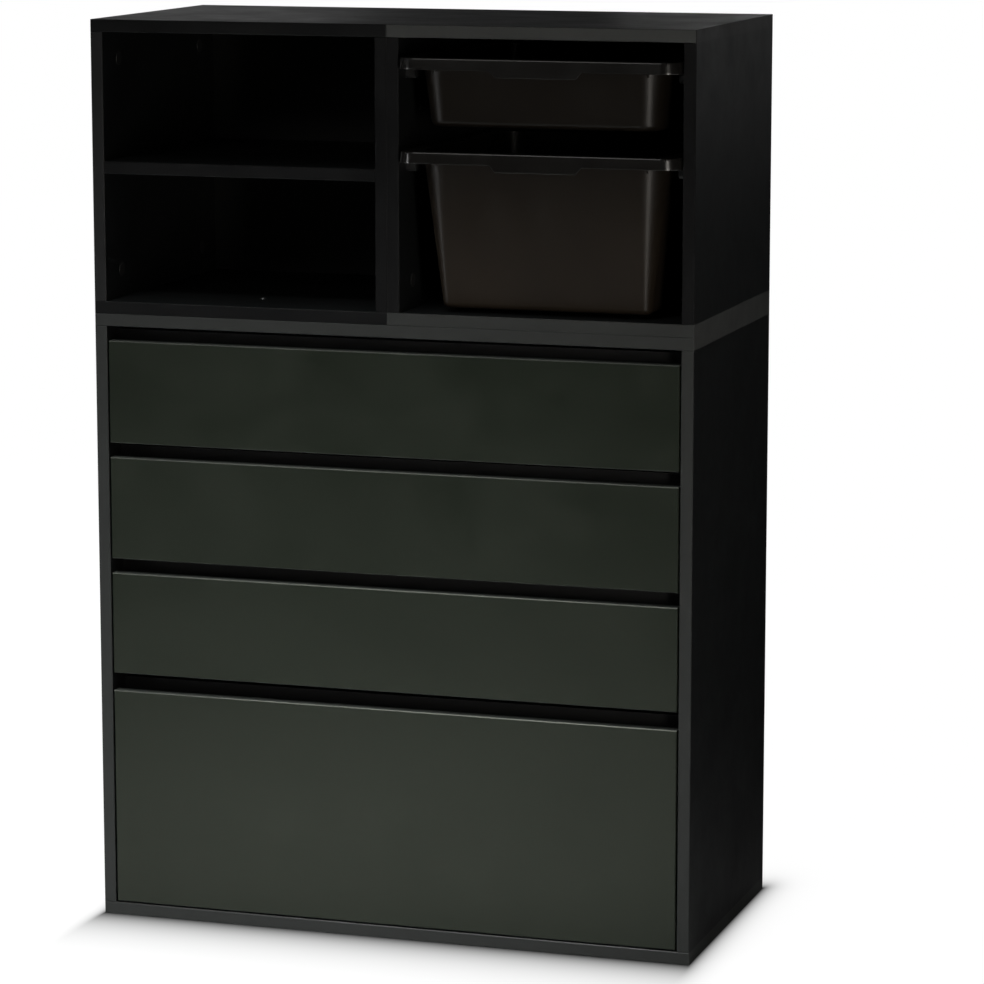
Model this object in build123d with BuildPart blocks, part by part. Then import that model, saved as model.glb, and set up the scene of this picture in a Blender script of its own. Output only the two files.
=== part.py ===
"""Craft storage tower: a base cabinet with four drawers on roller runners, and two open
cubbies side by side on top of it, one with a fixed shelf and one with two moulded bins
that slide on their rims.

Millimetres. X runs across the front from left to right, Y runs from the front to the back
and Z up. The origin is on the floor, at the centre of the cabinet's footprint.
"""

from build123d import *
from math import atan2, degrees, radians, tan
import os

os.makedirs("parts", exist_ok=True)

# ---------------------------------------------------------------- driving sizes: the cases
cabinet_width = 750.0
cabinet_depth = 360.0
base_height = 750.0
cubby_height = 354.0
board = 15.0                # thickness of every board of a case and of the drawer fronts
board_ease = 0.8            # eased arris round the front edge of a board
back_board = 3.0            # hardboard back of a case
back_lap = 8.0              # how far a back reaches behind each board, in its rebate
back_play = 0.5             # room round a back in its rebate

# ---------------------------------------------------------------- driving sizes: the fronts
shallow_front = 125.0       # height of the three shallow fronts
front_gap = 18.0            # finger gap above each shallow front
deep_front_gap = 22.0       # finger gap above the deep front
bottom_gap = 2.0            # play under the deep front
side_play = 2.0             # play beside each front
front_ease = 1.0            # eased arris of a front
rail_setback = 38.0         # from the front plane to the rails' front edge
rail_depth = 60.0
rail_drop = 5.0             # the rails' undersides lie this far below the front's top edge

# ---------------------------------------------------------------- driving sizes: drawer boxes
box_board = 12.0            # sides and back of a drawer
box_rear_play = 12.0        # room between a drawer box and the back of the case
box_lift = 4.0              # bottom edge of a drawer side above its front's bottom edge
box_top_play = 6.0          # room between a drawer side and the rail above it
groove_lift = 8.0           # bottom panel's groove above the side's bottom edge
groove_depth = 6.0
panel_play = 0.5            # room round a bottom panel in its grooves
bottom_panel = 3.0
groove_play = 0.2           # groove height over the bottom panel's thickness

# ---------------------------------------------------------------- driving sizes: roller runners
runner_gap = 12.5           # between a drawer side and the cabinet's side, filled by a runner
runner_end_play = 10.0      # how much shorter a runner is than the drawer's side
runner_setback = 2.0        # cabinet runner's front end behind the drawer front's inner face
drawer_runner_setback = 1.0
steel = 1.2                 # sheet thickness of both runners
channel_height = 19.6       # clear height inside the cabinet runner
flange_play = 0.4           # between its flanges and the drawer runner's web
web_bottom = 2.0            # lower edge of the drawer runner, above the channel's floor
hook_play = 0.6             # room over the drawer runner's outward flange
hook_side_play = 4.3        # between that flange's edge and the cabinet's side
roller_play = 0.3           # between a roller and the flange that it carries or rolls on
front_roller_radius = 8.5
front_head_play = 1.1       # between its axle's head and the drawer runner's web
front_roller_setback = 14.0
rear_roller_radius = 8.4
rear_roller_width = 5.0
rear_roller_setback = 12.0
axle_radius = 2.4
axle_play = 0.06            # running fit of a roller on its axle
end_play = 0.3              # room beside a roller, at the steel and at its axle's head
axle_head = 0.8             # room for the riveted head on an axle's end

# ---------------------------------------------------------------- driving sizes: bins
bin_overhang = 16.0         # the bins' rims stand this far in front of the front plane
rim_side_play = 1.75
rim_back_play = 17.0
rim_front_reach = 16.0      # rim's front edge in front of the bin's wall
rim_side_reach = 19.0
rim_back_reach = 12.0
rim_radius = 22.0
rim_flare = 1.4             # how much wider the skirt is at its lower edge, each side
skirt_height = 14.0
bin_wall = 2.0
bin_draft = 7.4             # degrees
wall_radius = 34.0          # a bin's upright corners, at the rim
floor_bevel = 4.0           # a bin's bevelled lower edge
large_bin_floor = 5.5       # above the cubby's floor
small_bin_height = 81.5
small_bin_top = 22.0        # small bin's rim below the cubby's ceiling
bins_gap = 28.0             # from the small bin's floor down to the large bin's rim
lip_width = 112.0           # finger lip in the middle of the front skirt
lip_drop = 8.0
lip_slope = 7.0             # run of the lip's slanted ends
rib_thickness = 2.0
front_rib_height = 17.0
side_rib_height = 11.0
rib_inset = 21.75           # front ribs from the bin's side walls
side_rib_inset = 35.5       # side ribs from its front and back walls
strip_width = 12.0          # wooden strips that the rims slide on
strip_height = 12.0
strip_setback = 25.0
strip_rear_play = 32.0      # between a strip and the back of the case
strip_play = 0.3            # between a skirt's lower edge and its strip
strip_ease = 3.0

# ---------------------------------------------------------------- places that follow from them
front_y = -cabinet_depth / 2
rear_y = cabinet_depth / 2
half_width = cabinet_width / 2
opening_half = half_width - board            # base opening, each side of the middle
opening_top = base_height - board
cubby_floor = base_height + board
tower_height = base_height + cubby_height
cubby_ceiling = tower_height - board
front_half = opening_half - side_play
box_front_y = front_y + board                # inner face of the drawer fronts
box_rear_y = rear_y - back_board - box_rear_play
box_half = opening_half - runner_gap         # outer face of a drawer side
inner_half = box_half - box_board

# Fronts, from the top drawer down: (bottom edge, height, gap above)
top_of_stack = opening_top - front_gap
shallow_bottoms = [top_of_stack - shallow_front - n * (shallow_front + front_gap) for n in range(3)]
deep_bottom = board + bottom_gap
deep_front = shallow_bottoms[-1] - deep_front_gap - deep_bottom
front_bottoms = shallow_bottoms + [deep_bottom]
front_heights = [shallow_front] * 3 + [deep_front]

# Runners: lengths along Y, reaches from the cabinet's side, heights above the channel's floor.
runner_length = box_rear_y - box_front_y - runner_end_play
channel_reach = runner_gap - steel - flange_play
hook_reach = runner_gap - hook_side_play
hook_height = channel_height - hook_play - steel
front_roller_height = hook_height - roller_play - front_roller_radius
rear_roller_height = roller_play + rear_roller_radius
front_roller_width = runner_gap - 2 * steel - 2 * end_play - axle_head - front_head_play
channel_front_y = box_front_y + runner_setback
front_roller_y = channel_front_y + front_roller_setback
rear_roller_y = box_front_y + drawer_runner_setback + runner_length - rear_roller_setback


def write(piece, label):
    """Names a finished piece and writes it as its own STEP file."""
    piece.part.label = label
    export_step(piece.part, f"parts/{label}.step")


def block(low, high, mode=Mode.ADD):
    """A box between two opposite corners."""
    size = [b - a for a, b in zip(low, high)]
    middle = tuple((a + b) / 2 for a, b in zip(low, high))
    with Locations(middle):
        Box(*size, mode=mode)


def rod(start, radius, length, towards=1, mode=Mode.ADD):
    """A round bar along X from start, towards +X or -X."""
    with Locations(Location(start, (0, 90 * towards, 0))):
        Cylinder(radius, length, align=(Align.CENTER, Align.CENTER, Align.MIN), mode=mode)


# ================================================================ cases
class Case:
    """The inside and outside of one case: two full-width end boards with the sides between."""

    def __init__(self, name, left, right, bottom, top):
        self.name, self.left, self.right, self.bottom, self.top = name, left, right, bottom, top
        self.inner_left, self.inner_right = left + board, right - board
        self.inner_bottom, self.inner_top = bottom + board, top - board

    def cut_back_rebate(self):
        """The shallow rebate behind the four boards that takes the hardboard back."""
        reach = back_lap + back_play
        block(
            (self.inner_left - reach, rear_y - back_board, self.inner_bottom - reach),
            (self.inner_right + reach, rear_y, self.inner_top + reach),
            mode=Mode.SUBTRACT,
        )


base = Case("base", -half_width, half_width, 0, base_height)
left_cubby = Case("left_cubby", -half_width, 0, base_height, tower_height)
right_cubby = Case("right_cubby", 0, half_width, base_height, tower_height)
cases = [base, left_cubby, right_cubby]


def ease_front(piece):
    """Eases the arrises round a board's front edge."""
    front = piece.faces().sort_by(Axis.Y)[0]
    chamfer(front.edges(), board_ease)


def end_board(case, low_z):
    """Top or bottom board of a case, over or under its sides."""
    with BuildPart() as piece:
        block((case.left, front_y, low_z), (case.right, rear_y, low_z + board))
        ease_front(piece)
        case.cut_back_rebate()
    return piece


def side_board(case, left_side):
    """Left or right side of a case, between its end boards."""
    outer = case.left if left_side else case.right
    inner = case.inner_left if left_side else case.inner_right
    with BuildPart() as piece:
        block((min(outer, inner), front_y, case.inner_bottom),
              (max(outer, inner), rear_y, case.inner_top))
        ease_front(piece)
        case.cut_back_rebate()
    return piece


def back_panel(case):
    """Hardboard back, let into the rebates flush with the rear edges."""
    with BuildPart() as piece:
        block((case.inner_left - back_lap, rear_y - back_board, case.inner_bottom - back_lap),
              (case.inner_right + back_lap, rear_y, case.inner_top + back_lap))
    return piece


for case in cases:
    write(end_board(case, case.inner_top), f"{case.name}_top_panel")
    write(end_board(case, case.bottom), f"{case.name}_bottom_panel")
    write(side_board(case, True), f"{case.name}_left_side")
    write(side_board(case, False), f"{case.name}_right_side")
    write(back_panel(case), f"{case.name}_back_panel")

# Fixed shelf halfway up the left cubby, between its sides and against its back.
cubby_middle = (cubby_floor + cubby_ceiling) / 2
with BuildPart() as shelf:
    block((left_cubby.inner_left, front_y, cubby_middle - board / 2),
          (left_cubby.inner_right, rear_y - back_board, cubby_middle + board / 2))
    ease_front(shelf)
write(shelf, "left_cubby_shelf")

# Cross rails behind the finger gaps: they keep the sides square and close the gaps off.
rail_bottoms = [z + height - rail_drop for z, height in zip(front_bottoms, front_heights)]
with BuildPart() as rails:
    for rail_bottom in rail_bottoms:
        block((-opening_half, front_y + rail_setback, rail_bottom),
              (opening_half, front_y + rail_setback + rail_depth, rail_bottom + board))
write(rails, "front_rails")


# ================================================================ roller runners
def steel_section(points, rear, length):
    """A bent-steel runner on the left, from its section's (X, Z) points."""
    with BuildSketch(Plane.XZ.offset(-rear)) as section:
        with BuildLine():
            Polyline(*points, close=True)
        make_face()
    extrude(section.sketch, amount=length)


def channel_floor(front_bottom):
    """Height of a cabinet runner's rolling surface for a drawer with this front."""
    return front_bottom + box_lift - web_bottom - steel


def channel_points(wall, floor):
    """Section of the cabinet runner, a C that opens towards the drawer."""
    ceiling = floor + channel_height
    return [
        (wall, floor - steel),
        (wall + channel_reach, floor - steel),
        (wall + channel_reach, floor),
        (wall + steel, floor),
        (wall + steel, ceiling),
        (wall + channel_reach, ceiling),
        (wall + channel_reach, ceiling + steel),
        (wall, ceiling + steel),
    ]


def hook_points(wall, floor):
    """Section of the drawer runner: a foot under the drawer's side, a web up the outside of
    it, and a flange that hooks out over the front roller."""
    outside = wall + runner_gap
    return [
        (outside - steel, floor + web_bottom),
        (outside + box_board, floor + web_bottom),
        (outside + box_board, floor + web_bottom + steel),
        (outside, floor + web_bottom + steel),
        (outside, floor + hook_height + steel),
        (outside - hook_reach, floor + hook_height + steel),
        (outside - hook_reach, floor + hook_height),
        (outside - steel, floor + hook_height),
    ]


def roller(start, radius, width):
    """A nylon roller along X from start, bored for its axle."""
    rod(start, radius, width)
    rod(start, axle_radius + axle_play, width, mode=Mode.SUBTRACT)


def cabinet_runners(floor):
    """The pair of C runners of one drawer, with the front rollers' axles."""
    wall = -opening_half
    with BuildPart() as piece:
        steel_section(channel_points(wall, floor), channel_front_y + runner_length, runner_length)
        rod((wall + steel, front_roller_y, floor + front_roller_height),
            axle_radius, front_roller_width + 2 * end_play, 1)
        mirror(about=Plane.YZ)
    return piece


def front_rollers(floor):
    """The pair of rollers at the front of the cabinet runners, under the drawer's flanges."""
    with BuildPart() as piece:
        roller((-opening_half + steel + end_play, front_roller_y, floor + front_roller_height),
               front_roller_radius, front_roller_width)
        mirror(about=Plane.YZ)
    return piece


def drawer_runners(floor):
    """The pair of runners under the drawer's sides, with the rear rollers' axles."""
    wall = -opening_half
    rear = box_front_y + drawer_runner_setback + runner_length
    with BuildPart() as piece:
        steel_section(hook_points(wall, floor), rear, runner_length)
        rod((wall + runner_gap - steel, rear_roller_y, floor + rear_roller_height),
            axle_radius, rear_roller_width + 2 * end_play, -1)
        mirror(about=Plane.YZ)
    return piece


def rear_rollers(floor):
    """The pair of rollers at the rear of the drawer, on the cabinet runners' lower flanges."""
    outer_end = -opening_half + runner_gap - steel - end_play - rear_roller_width
    with BuildPart() as piece:
        roller((outer_end, rear_roller_y, floor + rear_roller_height),
               rear_roller_radius, rear_roller_width)
        mirror(about=Plane.YZ)
    return piece


# ================================================================ drawers
def cut_bottom_groove(side_bottom, x_half, y_low, y_high):
    """The groove that takes a drawer's bottom panel."""
    low = side_bottom + groove_lift
    block((-x_half, y_low, low), (x_half, y_high, low + bottom_panel + groove_play),
          mode=Mode.SUBTRACT)


def drawer_front(bottom, height):
    """Plain inset front with softened arrises, grooved behind for the bottom panel."""
    with BuildPart() as piece:
        block((-front_half, front_y, bottom), (front_half, box_front_y, bottom + height))
        chamfer(piece.faces().sort_by(Axis.Y)[0].edges(), front_ease)
        cut_bottom_groove(bottom + box_lift, inner_half + groove_depth,
                          box_front_y - groove_depth, box_front_y)
    return piece


def drawer_side(bottom, top, left_side):
    """One side of a drawer box, grooved inside for the bottom panel."""
    way = -1 if left_side else 1
    with BuildPart() as piece:
        xs = sorted((way * inner_half, way * box_half))
        block((xs[0], box_front_y, bottom), (xs[1], box_rear_y, top))
        chamfer(piece.edges().filter_by(Axis.Y).group_by(Axis.Z)[-1], board_ease)
        cut_bottom_groove(bottom, inner_half + groove_depth, box_front_y, box_rear_y)
    return piece


def drawer_back(bottom, top):
    """Back of a drawer box, between its sides."""
    with BuildPart() as piece:
        block((-inner_half, box_rear_y - box_board, bottom), (inner_half, box_rear_y, top))
        chamfer(piece.edges().filter_by(Axis.X).group_by(Axis.Z)[-1], board_ease)
        cut_bottom_groove(bottom, inner_half, box_rear_y - box_board,
                          box_rear_y - box_board + groove_depth)
    return piece


def drawer_bottom(side_bottom):
    """Hardboard bottom panel, held in the grooves of the front, sides and back."""
    low = side_bottom + groove_lift
    reach = groove_depth - panel_play
    with BuildPart() as piece:
        block((-inner_half - reach, box_front_y - reach, low),
              (inner_half + reach, box_rear_y - box_board + reach, low + bottom_panel))
    return piece


for number, (bottom, height) in enumerate(zip(front_bottoms, front_heights), start=1):
    floor = channel_floor(bottom)
    side_bottom = bottom + box_lift
    side_top = bottom + height - rail_drop - box_top_play
    drawer = f"drawer_{number}"
    write(drawer_front(bottom, height), f"{drawer}_front")
    write(drawer_side(side_bottom, side_top, True), f"{drawer}_left_side")
    write(drawer_side(side_bottom, side_top, False), f"{drawer}_right_side")
    write(drawer_back(side_bottom, side_top), f"{drawer}_back")
    write(drawer_bottom(side_bottom), f"{drawer}_bottom")
    write(drawer_runners(floor), f"{drawer}_runners")
    write(cabinet_runners(floor), f"cabinet_runners_{number}")
    write(front_rollers(floor), f"front_rollers_{number}")
    write(rear_rollers(floor), f"rear_rollers_{number}")


# ================================================================ bins
bin_middle_x = (right_cubby.inner_left + right_cubby.inner_right) / 2
rim_front_y = front_y - bin_overhang
rim_rear_y = rear_y - back_board - rim_back_play
rim_width = right_cubby.inner_right - right_cubby.inner_left - 2 * rim_side_play
rim_length = rim_rear_y - rim_front_y
wall_width = rim_width - 2 * rim_side_reach
wall_length = rim_length - rim_front_reach - rim_back_reach
rim_middle = (bin_middle_x, (rim_front_y + rim_rear_y) / 2)
wall_middle = (bin_middle_x, rim_middle[1] + (rim_front_reach - rim_back_reach) / 2)
small_bin_rim = cubby_ceiling - small_bin_top
large_bin_rim = small_bin_rim - small_bin_height - bins_gap
large_bin_height = large_bin_rim - cubby_floor - large_bin_floor


def rounded_block(foot, height, width, length, middle, radius, lean, mode=Mode.ADD):
    """A block with rounded upright corners, from its foot up, whose faces lean in by lean
    degrees, or out if lean is negative."""
    with BuildSketch(Plane.XY.offset(foot)) as outline:
        with Locations(middle):
            RectangleRounded(width, length, radius)
    extrude(outline.sketch, amount=height, taper=lean, mode=mode)


def wall_block(top, depth, inset, mode=Mode.ADD):
    """A bin's walls as a solid block, inset evenly from their outside."""
    less = inset + depth * tan(radians(bin_draft))
    rounded_block(top - depth, depth, wall_width - 2 * less, wall_length - 2 * less,
                  wall_middle, wall_radius - less, -bin_draft, mode)


def rim_block(top, depth, inset):
    """A bin's flange and skirt as a solid block, inset evenly from their outside."""
    more = rim_flare * depth / skirt_height - inset
    lean = degrees(atan2(rim_flare, skirt_height))
    rounded_block(top - depth, depth, rim_width + 2 * more, rim_length + 2 * more,
                  rim_middle, rim_radius + more, lean)


def rib(x, y, across, towards, top, depth, reach):
    """A small triangular rib under the rim, against the bin's wall."""
    with BuildSketch(Plane(origin=(x, y, top), x_dir=towards, z_dir=across)) as triangle:
        with BuildLine():
            down = 1 if Vector(across).cross(Vector(towards)).Z < 0 else -1
            Polyline((0, 0), (reach, 0), (0, down * depth), close=True)
        make_face()
    extrude(triangle.sketch, amount=rib_thickness / 2, both=True)


def skirt_hollow(top, height):
    """The space between a bin's wall and its skirt, under the flange."""
    with BuildPart() as hollow:
        rim_block(top - bin_wall, skirt_height, bin_wall)
        wall_block(top, height, 0, mode=Mode.SUBTRACT)
    return hollow.part


def bin_inside(top, height):
    """The space inside a bin's walls, down to its bevelled floor."""
    with BuildPart() as inside:
        wall_block(top, height - bin_wall, bin_wall)
        chamfer(inside.faces().sort_by(Axis.Z)[0].edges(), floor_bevel)
    return inside.part


def moulded_bin(top, height):
    """A moulded bin: drafted walls, a flange with a skirt all round, a finger lip in the
    middle of the front and small ribs under the flange."""
    under_flange = top - bin_wall
    skirt_bottom = top - skirt_height
    wall_front_y = rim_front_y + rim_front_reach
    half = lip_width / 2
    hollow = skirt_hollow(top, height)
    inside = bin_inside(top, height)
    with BuildPart() as piece:
        wall_block(top, height, 0)
        chamfer(piece.faces().sort_by(Axis.Z)[0].edges(), floor_bevel)
        rim_block(top, skirt_height, 0)
        add(hollow, mode=Mode.SUBTRACT)
        # Finger lip: the front skirt reaches lower in its middle, with slanted ends.
        with BuildSketch(Plane.XZ.offset(rim_flare - rim_front_y)):
            with BuildLine():
                Polyline(
                    (bin_middle_x - half, skirt_bottom),
                    (bin_middle_x - half + lip_slope, skirt_bottom - lip_drop),
                    (bin_middle_x + half - lip_slope, skirt_bottom - lip_drop),
                    (bin_middle_x + half, skirt_bottom),
                    close=True,
                )
            make_face()
        extrude(amount=-bin_wall)
        # Ribs between the wall and the skirt: one at each end of the front, two on each side.
        for way in (-1, 1):
            x = bin_middle_x + way * (wall_width / 2 - rib_inset)
            rib(x, wall_front_y + bin_wall, (1, 0, 0), (0, -1, 0), under_flange,
                front_rib_height, rim_front_reach)
            for end in (-1, 1):
                y = wall_middle[1] + end * (wall_length / 2 - side_rib_inset)
                rib(bin_middle_x + way * (wall_width / 2 - bin_wall), y, (0, 1, 0), (way, 0, 0),
                    under_flange, side_rib_height, rim_side_reach)
        add(inside, mode=Mode.SUBTRACT)
    return piece


write(moulded_bin(large_bin_rim, large_bin_height), "large_bin")
write(moulded_bin(small_bin_rim, small_bin_height), "small_bin")


def carrying_strips(rim_top):
    """The pair of strips on the right cubby's sides that carries one bin's skirt."""
    strip_top = rim_top - skirt_height - strip_play
    strip_front = front_y + strip_setback
    strip_rear = rear_y - back_board - strip_rear_play
    with BuildPart() as piece:
        for wall, way in ((right_cubby.inner_left, 1), (right_cubby.inner_right, -1)):
            xs = sorted((wall, wall + way * strip_width))
            block((xs[0], strip_front, strip_top - strip_height),
                  (xs[1], strip_rear, strip_top))
        chamfer(piece.edges().filter_by(Axis.X).group_by(Axis.Y)[0], strip_ease)
    return piece


write(carrying_strips(large_bin_rim), "large_bin_strips")
write(carrying_strips(small_bin_rim), "small_bin_strips")
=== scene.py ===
"""Looks of the craft storage tower: laminated cases, drawers on roller runners and moulded bins.

Metres. X runs across the front, Y from the front to the back and Z up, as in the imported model,
which stays as it is. The boards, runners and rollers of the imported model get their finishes
here. The bins are made again with rolled edges, and the small fasteners are added.
"""

import logging
import math
from dataclasses import dataclass, field
from enum import Enum

import bmesh
import bpy
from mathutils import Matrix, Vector


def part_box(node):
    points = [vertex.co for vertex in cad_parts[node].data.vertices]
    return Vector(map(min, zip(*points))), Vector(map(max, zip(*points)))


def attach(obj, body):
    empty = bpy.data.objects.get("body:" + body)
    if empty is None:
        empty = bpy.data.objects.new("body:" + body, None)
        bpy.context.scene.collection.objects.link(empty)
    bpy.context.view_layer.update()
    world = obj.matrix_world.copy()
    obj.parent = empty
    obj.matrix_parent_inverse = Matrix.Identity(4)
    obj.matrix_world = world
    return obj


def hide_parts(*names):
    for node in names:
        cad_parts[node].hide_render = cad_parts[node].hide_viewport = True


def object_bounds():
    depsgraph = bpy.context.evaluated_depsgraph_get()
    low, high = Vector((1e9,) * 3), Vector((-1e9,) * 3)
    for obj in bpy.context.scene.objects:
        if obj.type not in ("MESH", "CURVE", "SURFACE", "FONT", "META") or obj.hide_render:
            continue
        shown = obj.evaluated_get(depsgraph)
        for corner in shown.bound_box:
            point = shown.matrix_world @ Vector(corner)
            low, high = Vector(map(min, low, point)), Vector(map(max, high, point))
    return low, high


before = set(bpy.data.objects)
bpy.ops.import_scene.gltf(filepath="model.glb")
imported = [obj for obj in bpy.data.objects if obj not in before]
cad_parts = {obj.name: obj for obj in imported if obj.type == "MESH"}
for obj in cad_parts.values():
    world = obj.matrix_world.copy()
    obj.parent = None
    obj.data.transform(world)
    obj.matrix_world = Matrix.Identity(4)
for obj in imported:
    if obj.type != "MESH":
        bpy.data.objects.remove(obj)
cad_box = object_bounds()

logging.basicConfig(level=logging.INFO, format="%(name)s: %(message)s")
log = logging.getLogger("storage_tower")

MM = 0.001
Colour = tuple[float, float, float]
Point = tuple[float, float, float]


class Way(Enum):
    """The ways that a fastener's head or a board's rough face can look."""

    LEFT = (-1.0, 0.0, 0.0)
    RIGHT = (1.0, 0.0, 0.0)
    BACK = (0.0, 1.0, 0.0)
    DOWN = (0.0, 0.0, -1.0)
    UP = (0.0, 0.0, 1.0)


class EdgeLightTone(Enum):
    """Painted light and shade for the boards' narrow faces: one banding, given a paler or darker tone
    per board where its edge is lit more or lies in shade.
    """

    PALE = (0.0460, 0.0475, 0.0460)
    MID = (0.0240, 0.0250, 0.0242)
    GREY = (0.0130, 0.0130, 0.0132)
    DARK = (0.0022, 0.0022, 0.0024)


# ================================================================ node trees
class Sheet:
    """A node tree that is being written, for a material or for geometry."""

    def __init__(self, tree: bpy.types.NodeTree) -> None:
        """Starts an empty tree.

        Args:
            tree: The node tree to fill. Its old nodes are removed.
        """
        self.tree = tree
        tree.nodes.clear()

    def add(self, kind: str, **settings: object) -> bpy.types.Node:
        """Adds a node and sets its own properties.

        Args:
            kind: The node's type name.
            **settings: Properties of the node, by name.

        Returns:
            The new node.
        """
        node = self.tree.nodes.new(kind)
        for name, value in settings.items():
            setattr(node, name, value)
        return node

    def feed(self, socket: bpy.types.NodeSocket, value: object) -> None:
        """Links an output socket into a socket, or sets the socket's own value.

        Args:
            socket: The input socket.
            value: An output socket, or the value to set.
        """
        if isinstance(value, bpy.types.NodeSocket):
            self.tree.links.new(value, socket)
        else:
            socket.default_value = value

    def math(self, operation: str, *values: object, clamp: bool = False) -> bpy.types.NodeSocket:
        """Adds a Math node.

        Args:
            operation: The Math node's operation.
            *values: Its inputs, each a number or an output socket.
            clamp: Whether the result is kept between 0 and 1.

        Returns:
            The result's socket.
        """
        node = self.add("ShaderNodeMath", operation=operation, use_clamp=clamp)
        for socket, value in zip(node.inputs, values):
            self.feed(socket, value)
        return node.outputs[0]

    def noise(self, vector: bpy.types.NodeSocket, scale: float, detail: float = 2.0,
              roughness: float = 0.5) -> bpy.types.NodeSocket:
        """Adds a Noise Texture.

        Args:
            vector: The coordinates that it is read at.
            scale: Its scale, in cells a metre.
            detail: How many finer layers it has.
            roughness: How strong each finer layer is.

        Returns:
            The socket of its value, from 0 to 1.
        """
        node = self.add("ShaderNodeTexNoise")
        self.feed(node.inputs["Vector"], vector)
        node.inputs["Scale"].default_value = scale
        node.inputs["Detail"].default_value = detail
        node.inputs["Roughness"].default_value = roughness
        return node.outputs["Fac"]

    def spread(self, value: bpy.types.NodeSocket, low: float, high: float,
               start: float = 0.0, stop: float = 1.0) -> bpy.types.NodeSocket:
        """Maps a value from one range to another and keeps it inside the new one.

        Args:
            value: The value's socket.
            low: The result at the start.
            high: The result at the stop.
            start: The value that gives the low result.
            stop: The value that gives the high result.

        Returns:
            The result's socket.
        """
        node = self.add("ShaderNodeMapRange", clamp=True)
        for name, amount in (("From Min", start), ("From Max", stop), ("To Min", low), ("To Max", high)):
            node.inputs[name].default_value = amount
        self.feed(node.inputs["Value"], value)
        return node.outputs["Result"]

    def mix(self, share: object, first: object, second: object) -> bpy.types.NodeSocket:
        """Mixes two colours.

        Args:
            share: How much of the second colour shows, from 0 to 1.
            first: The first colour.
            second: The second colour.

        Returns:
            The mixed colour's socket.
        """
        node = self.add("ShaderNodeMix", data_type="RGBA")
        self.feed(node.inputs["Factor"], share)
        for socket, value in ((node.inputs["A"], first), (node.inputs["B"], second)):
            self.feed(self._colour_socket(node, socket.name), self._as_colour(value))
        return node.outputs[2]

    @staticmethod
    def _colour_socket(node: bpy.types.Node, name: str) -> bpy.types.NodeSocket:
        """The colour socket of that name on a Mix node."""
        return next(s for s in node.inputs if s.name == name and s.type == "RGBA")

    @staticmethod
    def _as_colour(value: object) -> object:
        """A colour of three numbers as four, and anything else as it is."""
        return (*value, 1.0) if isinstance(value, tuple) and len(value) == 3 else value


class FinishSheet(Sheet):
    """The node tree of one material, with its shader and its Object coordinates at hand."""

    def __init__(self, name: str) -> None:
        """Makes the material.

        Args:
            name: The material's name.
        """
        self.material = bpy.data.materials.new(name)
        self.material.use_nodes = True
        super().__init__(self.material.node_tree)
        output = self.add("ShaderNodeOutputMaterial")
        self.shader = self.add("ShaderNodeBsdfPrincipled")
        self.feed(output.inputs["Surface"], self.shader.outputs["BSDF"])
        self.place = self.add("ShaderNodeTexCoord").outputs["Object"]
        self.normal = self.add("ShaderNodeNewGeometry").outputs["Normal"]

    def along(self, vector: bpy.types.NodeSocket, axis: str) -> bpy.types.NodeSocket:
        """Takes one of a vector's three parts.

        Args:
            vector: The vector's socket.
            axis: The part's name, X, Y or Z.

        Returns:
            The part's socket.
        """
        split = self.add("ShaderNodeSeparateXYZ")
        self.feed(split.inputs[0], vector)
        return split.outputs[axis]

    def stretched(self, scale: Point) -> bpy.types.NodeSocket:
        """Stretches the Object coordinates.

        Args:
            scale: The scale along each axis.

        Returns:
            The stretched coordinates' socket.
        """
        node = self.add("ShaderNodeMapping")
        node.inputs["Scale"].default_value = scale
        self.feed(node.inputs["Vector"], self.place)
        return node.outputs["Vector"]

    def bump(self, height: bpy.types.NodeSocket, distance: float, strength: float) -> None:
        """Feeds a height into the shader's normal.

        Args:
            height: The height's socket, from 0 to 1.
            distance: What a height of 1 stands for, in metres.
            strength: How much of it shows, from 0 to 1.
        """
        node = self.add("ShaderNodeBump")
        node.inputs["Distance"].default_value = distance
        node.inputs["Strength"].default_value = strength
        self.feed(node.inputs["Height"], height)
        self.feed(self.shader.inputs["Normal"], node.outputs["Normal"])

    def set(self, **values: object) -> None:
        """Feeds the shader's sockets.

        Args:
            **values: Sockets or values by the input's name, with underscores for spaces.
        """
        for name, value in values.items():
            socket = self.shader.inputs[name.replace("_", " ")]
            self.feed(socket, self._as_colour(value))


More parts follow.
